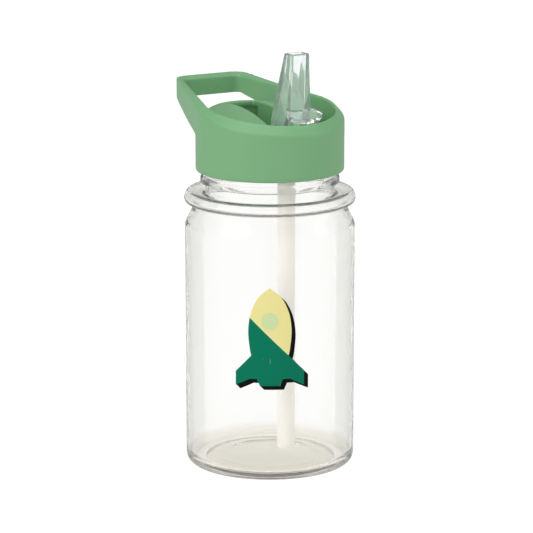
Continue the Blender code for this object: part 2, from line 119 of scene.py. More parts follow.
class BottleSettings(bpy.types.PropertyGroup):
    body_radius: length_property("Body radius", "Outer radius of the straight wall", 36.0)
    bulge_radius: length_property("Bulge radius", "Outer radius of the bulge under the neck", 36.3)
    wall: length_property("Wall", "Thickness of the wall", 1.4)
    base_wall: length_property("Base wall", "Thickness of the base", 2.2)
    base_corner: length_property("Base corner", "Radius of the rounded corner round the base", 4.2)
    neck_radius: length_property("Neck radius", "Outer radius of the neck", 27.3)
    bead_radius: length_property("Bead radius", "Outer radius of the bead under the lid", 29.5)
    steps: IntProperty(name="Steps", description="Steps round the axis", default=160, min=24, max=360)
    thinness: share_property("Thinness", "Share of the light that the thin wall passes unbent", 0.08)
    tint: colour_property("Tint", "Tint of the clear wall seen square on", (0.955, 0.955, 0.947))
    edge_tint: colour_property("Edge tint", "Tint where the wall is seen along itself", (0.72, 0.71, 0.63))
    foot_tint: colour_property("Foot tint", "Further tint of the base's plastic", (0.88, 0.855, 0.785))


class MotifSettings(bpy.types.PropertyGroup):
    height: length_property("Height", "Height of the printed rocket", 42.0)
    centre: length_property("Centre", "Height of the rocket's middle above the floor", 63.0)
    turn: angle_property("Turn", "Where on the wall it is printed", -30)
    shade_offset: length_property("Shade offset", "How far the shade reaches down and to the right", 1.7)
    line_width: length_property("Line width", "Width of the pale line between the colours", 0.35)
    upper: colour_property("Upper colour", "Ink of the upper right", linear(226, 216, 146))
    lower: colour_property("Lower colour", "Ink of the lower left", linear(0, 112, 84))
    line: colour_property("Line colour", "Ink of the thin line", linear(196, 214, 160))
    shade: colour_property("Shade colour", "Ink of the block shade", linear(14, 16, 16))


class LidSettings(bpy.types.PropertyGroup):
    radius: length_property("Radius", "Outer radius of the skirt", 31.5)
    bottom: length_property("Bottom", "Height of the skirt's lower edge", 127.0)
    rim_inner: length_property("Rim inner radius", "Radius of the rim's inner wall", 27.5)
    crest: length_property("Crest", "Height of the rim's top beside the axis", 155.6)
    reach: length_property("Loop reach", "How far back the carry loop reaches from the axis", 55.2)
    dome_radius: length_property("Dome radius", "Radius of the dome round the trough", 24.0)
    dome_top: length_property("Dome top", "Height of the dome's middle", 152.4)
    voxel: length_property("Moulded detail", "Size of the finest detail kept on the moulding", 0.5)
    colour: colour_property("Colour", "Colour of the moulded lid", linear(112, 164, 116))


class SpoutSettings(bpy.types.PropertyGroup):
    top: length_property("Top", "Height of the mouthpiece's tip when it is up", 179.5)
    barrel_radius: length_property("Barrel radius", "Radius of the barrel on the pivot", 6.2)
    tab_thickness: length_property("Tab thickness", "Thickness of the thumb tab", 1.8)
    tint: colour_property("Tint", "Tint of the clear plastic seen square on", (0.96, 0.985, 0.982))
    edge_tint: colour_property("Edge tint", "Tint where the plastic is seen along itself", (0.42, 0.58, 0.58))


class StrawSettings(bpy.types.PropertyGroup):
    radius: length_property("Radius", "Outer radius of the straw", 3.75)
    bore: length_property("Bore", "Inner radius of the straw", 3.1)
    colour: colour_property("Colour", "Colour of the milky plastic", linear(247, 243, 234))
    silicone: colour_property("Silicone", "Colour of the seals", linear(238, 238, 234))


class StageSettings(bpy.types.PropertyGroup):
    camera_turn: angle_property("Camera turn", "Camera's angle round the bottle", -30)
    camera_distance: distance_property("Camera distance", "Level distance from the bottle's axis", 1.234)
    camera_height: distance_property("Camera height", "Camera's height above the floor", 0.3625)
    aim_height: distance_property("Aim height", "Height on the axis that the camera aims at", 0.085)
    lens: FloatProperty(name="Lens", description="Focal length", default=200.4, unit="CAMERA")
    shift: FloatProperty(name="Shift", description="Sideways shift of the view", default=-0.0064)
    floor: colour_property("Floor", "Colour of the floor", (0.1, 0.1, 0.1))
    floor_glow: FloatProperty(name="Floor glow", description="Light of the floor itself", default=0.97)
    gloss_loss: share_property("Gloss loss", "Share of the surroundings' light that mirrors lose", 0.55)


SETTINGS = {
    "bottle_shell": BottleSettings,
    "bottle_motif": MotifSettings,
    "bottle_lid": LidSettings,
    "bottle_spout": SpoutSettings,
    "bottle_straw": StrawSettings,
    "bottle_stage": StageSettings,
}


# Modelling


def clear_selection():
    if bpy.context.mode != "OBJECT":
        bpy.ops.object.mode_set(mode="OBJECT")
    bpy.ops.object.select_all(action="DESELECT")


def only(obj):
    clear_selection()
    obj.select_set(True)
    bpy.context.view_layer.objects.active = obj


def edit(obj):
    only(obj)
    bpy.ops.object.mode_set(mode="EDIT")
    bpy.ops.mesh.select_all(action="SELECT")


def named(name):
    obj = bpy.context.object
    obj.name = name
    obj.data.name = name
    return obj


def seal_skin():
    """Welds what meets and turns the faces outwards, in edit mode, then leaves it."""
    bpy.ops.mesh.select_all(action="SELECT")
    bpy.ops.mesh.remove_doubles(threshold=WELD)
    bpy.ops.mesh.normals_make_consistent(inside=False)
    bpy.ops.object.mode_set(mode="OBJECT")


def drawn(name, points):
    """A line through the points, drawn by extruding one vertex, and left in edit mode."""
    clear_selection()
    bpy.ops.mesh.primitive_plane_add(size=MM, location=points[0])
    obj = named(name)
    edit(obj)
    bpy.ops.mesh.merge(type="CENTER")
    for start, end in zip(points, points[1:]):
        bpy.ops.mesh.extrude_vertices_move(TRANSFORM_OT_translate={"value": Vector(end) - Vector(start)})
    bpy.ops.mesh.select_all(action="SELECT")
    return obj


def turned(name, profile, steps, centre=(0.0, 0.0)):
    """A profile of (radius, height) points spun round an upright axis; centre is beside the bottle's axis."""
    middle = AXIS + Vector((centre[0], centre[1], 0))
    points = [middle + Vector((r, 0, z)) for r, z in profile]
    if profile[0][0] > 0:
        points.append(points[0])
    obj = drawn(name, points)
    bpy.ops.mesh.remove_doubles(threshold=WELD)
    bpy.ops.mesh.spin(steps=steps, angle=TURN, center=middle, axis=(0, 0, 1))
    seal_skin()
    settle(obj)
    return obj


def chamfered_tube(name, bore, radius, low, high, edge, steps, centre=(0.0, 0.0)):
    """An upright tube with its edges chamfered."""
    profile = [
        (bore, high - edge),
        (bore + edge, high),
        (radius - edge, high),
        (radius, high - edge),
        (radius, low + edge),
        (radius - edge, low),
        (bore + edge, low),
        (bore, low + edge),
    ]
    return turned(name, profile, steps, centre)


def settle(obj):
    """Puts the object at the origin, with its place in its mesh."""
    only(obj)
    bpy.ops.object.transform_apply(location=True, rotation=True, scale=True)


def lofted(name, rings, around=False):
    """A skin through rings of points: each is extruded from the one before, then its ends are filled."""
    rings = [[AXIS + Vector(p) for p in ring] for ring in rings]
    if around:
        rings.append(rings[0])
    clear_selection()
    bpy.ops.mesh.primitive_circle_add(vertices=len(rings[0]), radius=MM, fill_type="NOTHING")
    obj = named(name)
    places = list(range(len(rings[0])))
    for vert, point in zip(obj.data.vertices, rings[0]):
        vert.co = point
    edit(obj)
    for ring in rings[1:]:
        bpy.ops.object.mode_set(mode="OBJECT")
        count = len(obj.data.vertices)
        last = obj.data.vertices[count - len(ring) :]
        place_at = {tuple(vert.co): place for vert, place in zip(last, places)}
        bpy.ops.object.mode_set(mode="EDIT")
        bpy.ops.mesh.extrude_edges_move()
        bpy.ops.object.mode_set(mode="OBJECT")
        added = obj.data.vertices[count:]
        places = [place_at[tuple(vert.co)] for vert in added]
        for vert, place in zip(added, places):
            vert.co = ring[place]
        bpy.ops.object.mode_set(mode="EDIT")
    bpy.ops.mesh.select_all(action="SELECT")
    if not around:
        bpy.ops.mesh.fill_holes(sides=0)
    seal_skin()
    settle(obj)
    return obj


def prism(name, outline, move):
    """An outline of points filled and extruded by the move."""
    points = [Vector(p) for p in outline]
    obj = drawn(name, [*points, points[0]])
    bpy.ops.mesh.remove_doubles(threshold=WELD)
    bpy.ops.mesh.edge_face_add()
    bpy.ops.mesh.extrude_region_move(TRANSFORM_OT_translate={"value": move})
    seal_skin()
    settle(obj)
    return obj


def rod(name, radius, depth, centre, rotation=(0, 0, 0), vertices=48):
    clear_selection()
    bpy.ops.mesh.primitive_cylinder_add(
        vertices=vertices, radius=radius, depth=depth, location=AXIS + Vector(centre), rotation=rotation
    )
    obj = named(name)
    settle(obj)
    return obj


def upright_rod(name, radius, low, high, y=0.0, vertices=48):
    return rod(name, radius, high - low, (0, y, (low + high) / 2), vertices=vertices)


def apply(obj, modifier):
    only(obj)
    bpy.ops.object.modifier_apply(modifier=modifier.name)


def combine(obj, operation, *tools):
    """Joins the tools to the piece or cuts them from it, and removes them."""
    for tool in tools:
        modifier = obj.modifiers.new(operation.lower(), "BOOLEAN")
        modifier.operation = operation
        modifier.object = tool
        modifier.solver = "EXACT"
        apply(obj, modifier)
        if not obj.data.polygons:
            raise RuntimeError(f"nothing is left of {obj.name} after {tool.name}")
        bpy.data.objects.remove(tool, do_unlink=True)


def soften(obj, width, segments=3, degrees=40):
    """Rounds the edges sharper than the angle."""
    modifier = obj.modifiers.new("rounded edges", "BEVEL")
    modifier.width = width
    modifier.segments = segments
    modifier.limit_method = "ANGLE"
    modifier.angle_limit = math.radians(degrees)
    modifier.use_clamp_overlap = True
    apply(obj, modifier)


def mould(obj, voxel, rounds):
    """Turns the joined shape into one moulded skin with softly rounded edges."""
    remesh = obj.modifiers.new("one skin", "REMESH")
    remesh.mode = "VOXEL"
    remesh.voxel_size = voxel
    apply(obj, remesh)
    smooth_skin = obj.modifiers.new("soft edges", "SMOOTH")
    smooth_skin.factor = 0.5
    smooth_skin.iterations = rounds
    apply(obj, smooth_skin)


def thread_ridge(name, radius, low, first_turn, turns):
    """A round ridge along a right-handed helix, thinned at both ends."""
    steps_per_turn, thickness = 48, 0.95 * MM
    end_share, growth = 0.35, 0.1
    curve = bpy.data.curves.new(name, "CURVE")
    curve.dimensions = "3D"
    curve.bevel_depth = thickness
    curve.bevel_resolution = 3
    curve.use_fill_caps = True
    count = round(turns * steps_per_turn)
    spline = curve.splines.new("POLY")
    spline.points.add(count)
    for i, point in enumerate(spline.points):
        turn = first_turn + i / steps_per_turn
        place = Vector((radius * math.cos(TURN * turn), radius * math.sin(TURN * turn), low + PITCH * turn))
        point.co = (*(AXIS + place), 1)
        point.radius = min(1.0, end_share + growth * min(i, count - i))
    obj = bpy.data.objects.new(name, curve)
    bpy.context.collection.objects.link(obj)
    only(obj)
    bpy.ops.object.convert(target="MESH")
    obj = bpy.context.object
    edit(obj)
    seal_skin()
    return obj


def finish_piece(obj, material, body, replaced=(), degrees=32):
    """Shades the piece, gives it its material, and rides it on its body."""
    only(obj)
    if degrees is None:
        bpy.ops.object.shade_smooth()
    else:
        bpy.ops.object.shade_smooth_by_angle(angle=math.radians(degrees))
    obj.data.materials.clear()
    obj.data.materials.append(material)
    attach(obj, body)
    if replaced:
        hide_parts(*replaced)
    return obj


def arc(centre, radius, start, end, steps):
    """Points (r, z) on an arc, angles in degrees from +r towards +z."""
    points = []
    for i in range(steps + 1):
        angle = math.radians(start + (end - start) * i / steps)
        points.append((centre[0] + radius * math.cos(angle), centre[1] + radius * math.sin(angle)))
    return points


def smooth(points, steps):
    """A Catmull-Rom curve through the points."""
    ends = [points[0], *points, points[-1]]
    curve = []
    for i in range(1, len(ends) - 2):
        before, start, end, after = (Vector(p) for p in ends[i - 1 : i + 3])
        slope = end - before
        bend = 2 * before - 5 * start + 4 * end - after
        twist = 3 * start - before - 3 * end + after
        for k in range(steps):
            t = k / steps
            curve.append(tuple(start + 0.5 * t * (slope + t * (bend + t * twist))))
    return [*curve, tuple(points[-1])]


def rounded_rectangle(half, back, front, z, radius, steps=4):
    """A level ring with round corners, as (x, y, z) points."""
    points = []
    corners = ((half - radius, back - radius, 0), (radius - half, back - radius, 90))
    corners += ((radius - half, front + radius, 180), (half - radius, front + radius, 270))
    for x, y, start in corners:
        points += [(a, b, z) for a, b in arc((x, y), radius, start, start + 90, steps)]
    return points


# Materials


def group_of(name, inputs, outputs):
    """A shader node group. Inputs are name to (kind, default), and outputs are name to kind."""
    tree = bpy.data.node_groups.new(name, "ShaderNodeTree")
    for socket, (kind, default) in inputs.items():
        made = tree.interface.new_socket(socket, in_out="INPUT", socket_type=kind)
        made.default_value = default
    for socket, kind in outputs.items():
        tree.interface.new_socket(socket, in_out="OUTPUT", socket_type=kind)
    return tree, tree.nodes.new("NodeGroupInput"), tree.nodes.new("NodeGroupOutput")


def maths(tree, operation, first, second=None, third=None):
    node = tree.nodes.new("ShaderNodeMath")
    node.operation = operation
    for i, value in enumerate((first, second, third)):
        if value is None:
            continue
        if isinstance(value, (int, float)):
            node.inputs[i].default_value = value
        else:
            tree.links.new(value, node.inputs[i])
    return node.outputs[0]


def noise(tree, vector, scale, detail, roughness=0.5):
    node = tree.nodes.new("ShaderNodeTexNoise")
    node.inputs["Detail"].default_value = detail
    node.inputs["Roughness"].default_value = roughness
    tree.links.new(vector, node.inputs["Vector"])
    if isinstance(scale, (int, float)):
        node.inputs["Scale"].default_value = scale
    else:
        tree.links.new(scale, node.inputs["Scale"])
    return node.outputs["Fac"]


def colour_mix(tree, first, second, factor, blend="MIX"):
    """Mixes two colours, each given as a value or a socket, by a factor given in the same way."""
    mix = tree.nodes.new("ShaderNodeMix")
    mix.data_type = "RGBA"
    mix.blend_type = blend
    for socket, value in (("A", first), ("B", second), ("Factor", factor)):
        if isinstance(value, bpy.types.NodeSocket):
            tree.links.new(value, mix.inputs[socket])
        else:
            mix.inputs[socket].default_value = value
    return mix.outputs["Result"]


def moulded_finish():
    """Fine moulded grain with a slow drift of tone: what every solid plastic and rubber here shares."""
    inputs = {
        "Colour": ("NodeSocketColor", (0.5, 0.5, 0.5, 1)),
        "Tone drift": ("NodeSocketFloat", 0.04),
        "Roughness": ("NodeSocketFloat", 0.4),
        "Roughness drift": ("NodeSocketFloat", 0.08),
        "Grain scale": ("NodeSocketFloat", 2500.0),
    }
    outputs = {"Colour": "NodeSocketColor", "Roughness": "NodeSocketFloat", "Height": "NodeSocketFloat"}
    tree, given, out = group_of("moulded_finish", inputs, outputs)
    place = tree.nodes.new("ShaderNodeTexCoord").outputs["Object"]
    cloud = noise(tree, place, 45.0, 3)
    grain = noise(tree, place, given.outputs["Grain scale"], 2, 0.6)
    drift = maths(tree, "SUBTRACT", cloud, 0.5)
    tone = maths(tree, "MULTIPLY_ADD", drift, given.outputs["Tone drift"], 1.0)
    scaled = tree.nodes.new("ShaderNodeVectorMath")
    scaled.operation = "SCALE"
    tree.links.new(given.outputs["Colour"], scaled.inputs[0])
    tree.links.new(tone, scaled.inputs["Scale"])
    tree.links.new(scaled.outputs[0], out.inputs["Colour"])
    mixed = maths(tree, "ADD", drift, maths(tree, "MULTIPLY_ADD", grain, 0.5, -0.25))
    rough = maths(tree, "MULTIPLY_ADD", mixed, given.outputs["Roughness drift"], given.outputs["Roughness"])
    tree.links.new(rough, out.inputs["Roughness"])
    tree.links.new(grain, out.inputs["Height"])
    return tree


def handling_marks():
    """Sparse fine scratches and smudges from use: a mask of scratches and a mask of smudges."""
    inputs = {"Scratch density": ("NodeSocketFloat", 0.3), "Smudge scale": ("NodeSocketFloat", 60.0)}
    outputs = {"Scratches": "NodeSocketFloat", "Smudges": "NodeSocketFloat"}
    tree, given, out = group_of("handling_marks", inputs, outputs)
    place = tree.nodes.new("ShaderNodeTexCoord").outputs["Object"]
    stretched = tree.nodes.new("ShaderNodeMapping")
    stretched.inputs["Scale"].default_value = (1, 1, 0.12)
    stretched.inputs["Rotation"].default_value = (0.35, 0.2, 0)
    tree.links.new(place, stretched.inputs["Vector"])
    lines = noise(tree, stretched.outputs["Vector"], 900.0, 2, 0.7)
    level = maths(tree, "SUBTRACT", 0.78, maths(tree, "MULTIPLY", given.outputs["Scratch density"], 0.2))
    scratch = maths(tree, "GREATER_THAN", lines, level)
    smudge = noise(tree, place, given.outputs["Smudge scale"], 4, 0.6)
    tree.links.new(scratch, out.inputs["Scratches"])
    tree.links.new(smudge, out.inputs["Smudges"])
    return tree


def foot_shade():
    """White, turning to the colour over the lowest few millimetres."""
    inputs = {"Colour": ("NodeSocketColor", (1, 1, 1, 1))}
    tree, given, out = group_of("foot_shade", inputs, {"Colour": "NodeSocketColor"})
    place = tree.nodes.new("ShaderNodeSeparateXYZ")
    tree.links.new(tree.nodes.new("ShaderNodeTexCoord").outputs["Object"], place.inputs[0])
    level = tree.nodes.new("ShaderNodeMapRange")
    level.interpolation_type = "SMOOTHSTEP"
    level.inputs["From Min"].default_value = 3 * MM
    level.inputs["From Max"].default_value = 8 * MM
    tree.links.new(place.outputs["Z"], level.inputs["Value"])
    shade = colour_mix(tree, given.outputs["Colour"], (1, 1, 1, 1), level.outputs["Result"])
    tree.links.new(shade, out.inputs["Colour"])
    return tree


GROUPS = {"moulded_finish": moulded_finish, "handling_marks": handling_marks, "foot_shade": foot_shade}


def placed_group(tree, name, **values):
    node = tree.nodes.new("ShaderNodeGroup")
    node.node_tree = bpy.data.node_groups.get(name) or GROUPS[name]()
    for socket, value in values.items():
        node.inputs[socket.replace("_", " ").capitalize()].default_value = value
    return node


def new_material(name):
    mat = bpy.data.materials.new(name)
    mat.use_nodes = True
    return mat, mat.node_tree, mat.node_tree.nodes["Principled BSDF"]


def bump(tree, shader, height, depth):
    node = tree.nodes.new("ShaderNodeBump")
    node.inputs["Strength"].default_value = 1.0
    node.inputs["Distance"].default_value = depth
    tree.links.new(height, node.inputs["Height"])
    tree.links.new(node.outputs["Normal"], shader.inputs["Normal"])


def moulded_plastic(name, colour, roughness, grain_depth, grain=2500.0, subsurface=0.0, soak=2 * MM):
    """Solid plastic or rubber with moulded grain, and with light soaking into it where it is milky."""
    mat, tree, shader = new_material(name)
    look = placed_group(
        tree, "moulded_finish", colour=(*colour, 1), tone_drift=0.05, roughness=roughness, grain_scale=grain
    )
    tree.links.new(look.outputs["Colour"], shader.inputs["Base Color"])
    tree.links.new(look.outputs["Roughness"], shader.inputs["Roughness"])
    bump(tree, shader, look.outputs["Height"], grain_depth)
    shader.inputs["Subsurface Weight"].default_value = subsurface
    shader.inputs["Subsurface Radius"].default_value = (1, 1, 1)
    shader.inputs["Subsurface Scale"].default_value = soak
    return mat


def clear_plastic(
    name, tint, edge_tint, edge_power, roughness, ripple, ior=1.5, haze=0.0, open_share=0.0, foot_tint=None
):
    """Clear plastic, tinted where it is seen along itself. Lamps and a share of all light pass unbent."""
    mat, tree, shader = new_material(name)
    shader.inputs["Transmission Weight"].default_value = 1.0 - haze
    shader.inputs["IOR"].default_value = ior
    facing = tree.nodes.new("ShaderNodeLayerWeight")
    facing.inputs["Blend"].default_value = 0.5
    depth = maths(tree, "POWER", facing.outputs["Facing"], edge_power)
    colour = colour_mix(tree, (*tint, 1), (*edge_tint, 1), depth)
    if foot_tint:
        foot = placed_group(tree, "foot_shade", colour=(*foot_tint, 1))
        colour = colour_mix(tree, colour, foot.outputs["Colour"], 1.0, "MULTIPLY")
    tree.links.new(colour, shader.inputs["Base Color"])
    marks = placed_group(tree, "handling_marks", scratch_density=0.2)
    rough = maths(tree, "MULTIPLY", marks.outputs["Smudges"], roughness)
    tree.links.new(rough, shader.inputs["Roughness"])
    bump(tree, shader, marks.outputs["Smudges"], ripple)
    half_tint = tree.nodes.new("ShaderNodeGamma")
    half_tint.inputs["Gamma"].default_value = 0.5
    tree.links.new(colour, half_tint.inputs["Color"])
    open_shader = tree.nodes.new("ShaderNodeBsdfTransparent")
    tree.links.new(half_tint.outputs["Color"], open_shader.inputs["Color"])
    path = tree.nodes.new("ShaderNodeLightPath")
    passed = maths(tree, "MAXIMUM", path.outputs["Is Shadow Ray"], open_share)
    choose = tree.nodes.new("ShaderNodeMixShader")
    tree.links.new(passed, choose.inputs["Fac"])
    tree.links.new(shader.outputs["BSDF"], choose.inputs[1])
    tree.links.new(open_shader.outputs["BSDF"], choose.inputs[2])
    tree.links.new(choose.outputs["Shader"], tree.nodes["Material Output"].inputs["Surface"])
    return mat


def printed_ink(name, colour):
    """Printed ink: a thin gloss film with the print's own fine speckle."""
    mat, tree, shader = new_material(name)
    look = placed_group(
        tree, "moulded_finish", colour=(*colour, 1), tone_drift=0.1, roughness=0.32, grain_scale=4200.0
    )
    marks = placed_group(tree, "handling_marks", scratch_density=0.35, smudge_scale=180.0)
    bare, most_worn = (0.8, 0.8, 0.75, 1), 0.12
    wear = maths(tree, "MULTIPLY", marks.outputs["Scratches"], most_worn)
    tree.links.new(colour_mix(tree, look.outputs["Colour"], bare, wear), shader.inputs["Base Color"])
    tree.links.new(look.outputs["Roughness"], shader.inputs["Roughness"])
    shader.inputs["Specular IOR Level"].default_value = 0.08
    bump(tree, shader, look.outputs["Height"], 0.004 * MM)
    return mat


# Pieces


class BOTTLE_OT_shell(bpy.types.Operator):
    """Blown bottle: ringed base, straight wall, waist, bulge, beaded neck and thread"""

    bl_idname = "bottle.shell"
    bl_label = "Bottle"
    bl_options = {"REGISTER", "UNDO"}

    def neck(self, s, lip_z):
        """The outside from the lip down past the bead."""
        low, high, edge = 122.0 * MM, 124.6 * MM, 0.7 * MM
        return [
            *arc((s.neck_radius - 0.6 * MM, lip_z - 0.6 * MM), 0.6 * MM, 90, 0, 6),
            (s.neck_radius, high + 1.1 * MM),
            (s.neck_radius + 0.25 * MM, high + 0.5 * MM),
            (s.neck_radius + 0.8 * MM, high + 0.2 * MM),
            *arc((s.bead_radius - edge, high - 0.6 * MM), edge, 80, 0, 5),
            *arc((s.bead_radius - edge, low + edge), edge, 0, -80, 5),
            (s.neck_radius + 0.6 * MM, low - 0.15 * MM),
            (s.neck_radius + 0.2 * MM, low - 0.45 * MM),
        ]

    def bulge(self, s):
        """The outside from the neck's foot over the dished ring and the bulge to the shoulder."""
        ring = mm((28.0, 118.0), (29.2, 117.6), (31.5, 118.1), (33.4, 118.8), (34.6, 118.7))
        shoulder = mm((35.2, 113.7), (34.0, 113.4), (33.0, 113.0), (32.7, 112.1), (33.1, 110.6))
        shoulder += mm((34.0, 108.6), (35.2, 106.2), (35.9, 104.6), (36.1, 103.4), (36.05, 99.0))
        middle = [
            (s.bulge_radius - 0.6 * MM, 117.7 * MM),
            (s.bulge_radius - 0.05 * MM, 116.2 * MM),
            (s.bulge_radius, 115.2 * MM),
            (s.bulge_radius - 0.3 * MM, 114.3 * MM),
        ]
        return smooth([(s.neck_radius + 0.2 * MM, 119.2 * MM), *ring, *middle, *shoulder], 4)

    def foot(self, s):
        """The outside from the straight wall round the corner and under the base to the axis."""
        corner = s.base_corner
        ring = smooth(mm((27.5, 0.1), (26.2, 0.5), (24.0, 0.8), (20.5, 1.0)), 4)
        dish = smooth(mm((18.0, 1.5), (14.0, 1.9), (8.0, 2.2), (0, 2.3)), 4)
        wall = [(s.body_radius, 80 * MM), (s.body_radius, 40 * MM)]
        round_corner = arc((s.body_radius - corner, corner), corner, 0, -90, 14)
        return [*wall, *round_corner, (27.9 * MM, 0), *ring, *dish]

    def inside(self, s, lip_z):
        """The inside from the middle of the floor up to the lip."""
        bore = s.neck_radius - 1.6 * MM
        wall_r, corner = s.body_radius - s.wall, 4.6 * MM
        round_corner = arc((wall_r - corner, 7.2 * MM), corner, 0, -80, 12)
        rings = mm((26.0, 2.75), (22.0, 3.1), (18.0, 3.6), (12.0, 4.1))
        floor = smooth([round_corner[-1], *rings, (0, 2.3 * MM + s.base_wall)], 4)
        waist = mm((34.65, 99.0), (34.6, 103.5), (34.2, 105.6), (33.0, 107.8), (32.0, 110.0), (31.7, 112.2))
        bulge = mm((32.1, 113.7), (33.2, 114.4), (34.4, 114.7), (35.1, 115.3), (35.1, 116.2), (34.6, 117.2))
        ring = mm((33.8, 117.7), (31.2, 116.9), (29.0, 116.5), (27.2, 116.6), (26.1, 117.3))
        return [
            *reversed(floor[1:]),
            *reversed(round_corner),
            (wall_r, 40 * MM),
            (wall_r, 80 * MM),
            *smooth([*waist, *bulge, *ring, (bore, 118.5 * MM)], 4),
            (bore, lip_z - 0.5 * MM),
            (bore + 0.15 * MM, lip_z - 0.12 * MM),
            (bore + 0.5 * MM, lip_z),
        ]

    def execute(self, context):
        s = context.scene.bottle_shell
        lip_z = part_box("bottle")[1].z
        outside = [*self.neck(s, lip_z), *self.bulge(s), *self.foot(s)]
        shell = turned("bottle_shell", [*self.inside(s, lip_z), *outside], s.steps)
        combine(shell, "UNION", thread_ridge("neck_thread", s.neck_radius + 0.35 * MM, 129.6 * MM, 0, 1.6))
        clear = clear_plastic(
            "clear_copolyester",
            s.tint,
            s.edge_tint,
            edge_power=3.0,
            roughness=0.012,
            ripple=0.03 * MM,
            ior=1.25,
            open_share=s.thinness,
            foot_tint=s.foot_tint,
        )
        finish_piece(shell, clear, "bottle", ["bottle"], degrees=28)
        return {"FINISHED"}


def rocket_outline():
    """The rocket as (x, z) shares of its height, all round."""
    hull = smooth([(0.0, 0.5), (0.115, 0.4), (0.19, 0.24), (0.215, 0.06), (0.2, -0.12), (0.185, -0.19)], 6)
    fin = [(0.34, -0.36), (0.34, -0.5), (0.2, -0.43), (0.13, -0.43), (0.1, -0.5), (0.0, -0.5)]
    half = hull + fin
    return half + [(-x, z) for x, z in reversed(half[1:-1])]


class BOTTLE_OT_motif(bpy.types.Operator):
    """Printed rocket in two inks, with a pale line between them and a block shade"""

    bl_idname = "bottle.motif"
    bl_label = "Printed motif"
    bl_options = {"REGISTER", "UNDO"}

    def film(self, s, name, outline, radius, thick, shift=0.0, cuts=()):
        """The outline as a film on its side of the wall, between the radius and that plus its thickness."""
        near, far = 40 * MM, 16 * MM
        points = [(x * s.height + shift, -near, z * s.height + s.centre - shift) for x, z in outline]
        shape = prism(name, points, Vector((0, near - far, 0)))
        for place, above in cuts:
            self.split(shape, place, above)
        shape.data.transform(Matrix.Translation(AXIS) @ Matrix.Rotation(s.turn, 4, "Z"))
        low, high = s.centre - 0.6 * s.height, s.centre + 0.6 * s.height
        outer = radius + thick
        sleeve = turned("sleeve", [(radius, low), (outer, low), (outer, high), (radius, high)], 240)
        combine(shape, "INTERSECT", sleeve)
        return shape

    def split(self, shape, centre, keep_above):
        """Cuts the shape along the diagonal through the centre and keeps one side."""
        edit(shape)
        bpy.ops.mesh.bisect(
            plane_co=centre,
            plane_no=UP_RIGHT,
            use_fill=True,
            clear_inner=keep_above,
            clear_outer=not keep_above,
        )
        seal_skin()

    def block_shade(self, context, s, outline, base):
        """The outline again and again, stepping down to the right, joined into one shade."""
        count, step, thick = 6, 0.02 * MM, 0.012 * MM
        layers = []
        for i in range(1, count + 1):
            shift = s.shade_offset * i / count
            layers.append(self.film(s, "motif_shade", outline, base - step * i, thick, shift))
        clear_selection()
        for layer in layers:
            layer.select_set(True)
        context.view_layer.objects.active = layers[0]
        bpy.ops.object.join()
        return layers[0]

    def execute(self, context):
        s = context.scene.bottle_motif
        outline = rocket_outline()
        base = context.scene.bottle_shell.body_radius + 0.3 * MM
        centre, gap = Vector((0, 0, s.centre)), UP_RIGHT * s.line_width / 2
        pieces = []
        for name, colour, cuts in (
            ("motif_upper", s.upper, [(centre + gap, True)]),
            ("motif_lower", s.lower, [(centre - gap, False)]),
            ("motif_line", s.line, [(centre - gap, True), (centre + gap, False)]),
        ):
            film = self.film(s, name, outline, base + 0.05 * MM, 0.12 * MM, cuts=cuts)
            pieces.append((film, colour))
        pieces.append((self.block_shade(context, s, outline, base), s.shade))
        window_share, window_z = 0.085, 0.16
        turns = [TURN * i / 40 for i in range(40)]
        window = [(window_share * math.cos(t), window_z + window_share * math.sin(t)) for t in turns]
        pieces.append((self.film(s, "motif_window", window, base + 0.2 * MM, 0.05 * MM), s.line))
        for obj, colour in pieces:
            ink = printed_ink(obj.name + "_ink", colour)
            finish_piece(obj, ink, "bottle", ["printed_motif"])
        return {"FINISHED"}


def crest_height(s, y):
    """The rim's top: it climbs steeply at the front and gently along the arms, with a soft bend between."""
    front_slope, back_slope, blend = 0.18, 0.082, 0.5 * MM
    front, back = s.crest + front_slope * y, s.crest + back_slope * y
    return (front + back) / 2 - math.hypot((front - back) / 2, blend)


def plan_of(circle_r, corner_x, reach, corner_r):
    """Right half of the rim's plan, front to back: circle, straight arm, round corner, bar."""
    rim_steps, arm_steps, corner_steps, bar_steps = 60, 26, 14, 8
    points = []
    for i in range(rim_steps + 1):
        angle = -math.pi / 2 + (math.pi / 2 + LEAVE_ANGLE) * i / rim_steps
        points.append(Vector((circle_r * math.cos(angle), circle_r * math.sin(angle))))
    start, corner = points[-1], Vector((corner_x, reach))
    arm = (corner - start).normalized()
    back_off = corner_r * math.tan(arm.angle(Vector((-1, 0))) / 2)
    arm_end, bar_start = corner - arm * back_off, corner + Vector((-back_off, 0))
    for i in range(1, arm_steps + 1):
        points.append(start.lerp(arm_end, i / arm_steps))
    for i in range(1, corner_steps + 1):
        t = i / corner_steps
        points.append(arm_end.lerp(corner, t).lerp(corner.lerp(bar_start, t), t))
    for i in range(1, bar_steps + 1):
        points.append(bar_start.lerp(Vector((0, reach)), i / bar_steps))
    return points


